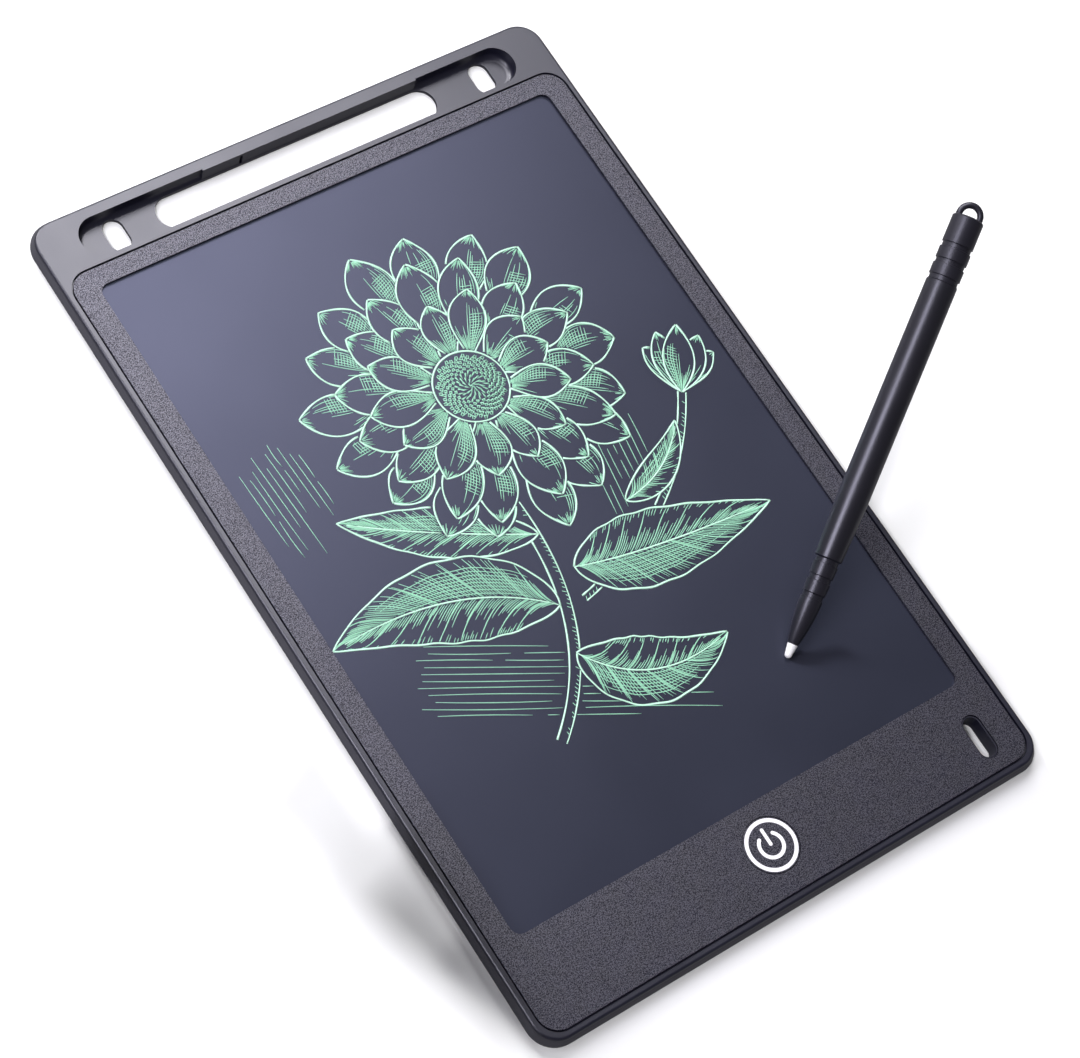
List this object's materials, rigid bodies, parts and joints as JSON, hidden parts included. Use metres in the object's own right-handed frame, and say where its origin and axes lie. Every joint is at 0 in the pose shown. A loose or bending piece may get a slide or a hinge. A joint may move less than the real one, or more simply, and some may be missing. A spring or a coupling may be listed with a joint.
{
  "type": "lcd writing tablet",
  "caption": "Slim black LCD writing tablet with an erase button, a stylus recess, a lanyard hole and a cordless stylus held to its screen.",
  "frame": {"origin": "middle of the back face's outline, on the surface that the tablet lies on", "axes": "+X to the right of the screen, +Y along the tablet to the stylus recess, +Z out of the screen"},
  "size_m": [0.1849, 0.2276, 0.0606],
  "materials": {
    "frame_black": "satin",
    "cover_black": "matte",
    "panel_sparkle_black": "satin",
    "adhesive": "matte",
    "writing_film": "satin",
    "liquid_crystal": "satin",
    "clear_film": "gloss",
    "black_film": "matte",
    "stiff_board": "matte",
    "foam": "matte",
    "button_black": "satin",
    "print_white": "matte",
    "board_green": "satin",
    "switch_black": "matte",
    "switch_white": "satin",
    "spring_steel": "satin",
    "chip_epoxy": "matte",
    "capacitor_ceramic": "satin",
    "flex_amber": "gloss",
    "slider_black": "matte",
    "contact_brass": "satin",
    "contact_nickel": "satin",
    "cell_steel": "polished",
    "door_black": "matte",
    "screw_steel": "satin",
    "stylus_black": "satin",
    "stylus_trim_black": "satin",
    "nib_white": "satin"
  },
  "bodies": {
    "tablet": {"front_frame": "frame_black", "back_cover": "cover_black", "bezel_panel": "panel_sparkle_black", "bezel_tape": "adhesive", "lcd_top_film": "writing_film", "liquid_crystal_layer": "liquid_crystal", "lcd_bottom_film": "clear_film", "black_backing_film": "black_film", "backing_board": "stiff_board", "foam_strips": "foam", "circuit_board": "board_green", "lcd_flex_tail": "flex_amber", "tact_switch_body": "switch_black", "snap_dome": "spring_steel", "controller_chip": "chip_epoxy", "ceramic_capacitors": "capacitor_ceramic", "lock_switch_body": "switch_black", "battery_contact_negative": "contact_nickel", "battery_contact_positive": "contact_nickel", "coin_cell": "cell_steel"},
    "erase_button": {"erase_button_cap": "button_black", "button_symbol_print": "print_white", "tact_switch_plunger": "switch_white"},
    "erase_lock": {"lock_knob": "slider_black", "lock_wiper": "contact_brass"},
    "battery_door": {"battery_door": "door_black"},
    "door_screw": {"battery_door_screw": "screw_steel"},
    "stylus": {"stylus_barrel": "stylus_black", "stylus_nose_cone": "stylus_trim_black", "stylus_nib": "nib_white", "stylus_end_cap": "stylus_trim_black"}
  },
  "joints": [
    {"name": "erase_button_press", "type": "slide", "parent": "tablet", "child": "erase_button", "axis": [0, 0, -1], "range_m": [0, 0.0004], "stiffness_N_per_m": 3000, "deforming": ["snap_dome"]},
    {"name": "erase_lock_slide", "type": "slide", "parent": "tablet", "child": "erase_lock", "axis": [1, 0, 0], "range_m": [0, 0.0025]},
    {"name": "battery_door_removal", "type": "slide", "parent": "tablet", "child": "battery_door", "axis": [0, 0, -1], "range_m": [0, 0.008]},
    {"name": "door_screw_out", "type": "slide", "parent": "battery_door", "child": "door_screw", "axis": [0, 0, -1], "range_m": [0, 0.0024]},
    {"name": "stylus_lift", "type": "slide", "parent": "tablet", "child": "stylus", "axis": [0, 0, 1], "range_m": [0, 0.06]}
  ]
}
